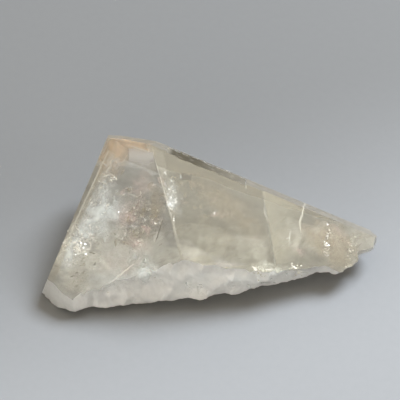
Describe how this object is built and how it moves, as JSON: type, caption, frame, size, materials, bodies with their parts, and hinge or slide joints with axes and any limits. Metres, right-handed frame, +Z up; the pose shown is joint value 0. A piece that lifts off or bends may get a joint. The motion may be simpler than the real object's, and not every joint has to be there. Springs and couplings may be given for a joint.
{
  "type": "topaz crystal",
  "caption": "Loose wedge-shaped piece of clear pale crystal with flat growth faces along the top, one flat cleavage end and a rough broken front and underside.",
  "frame": {"origin": "middle of the bounding box in X and Y, at the level that the crystal rests on", "axes": "+X along the crystal from its thick end to its tip, +Z up, and the broken front wall faces -Y"},
  "size_m": [0.051, 0.025, 0.0166],
  "materials": {
    "topaz": "clear pale champagne topaz with a glassy lustre, cloudy veils and cracks inside, and frosted broken walls"
  },
  "bodies": {
    "root": {"topaz_crystal": "topaz"}
  },
  "joints": []
}
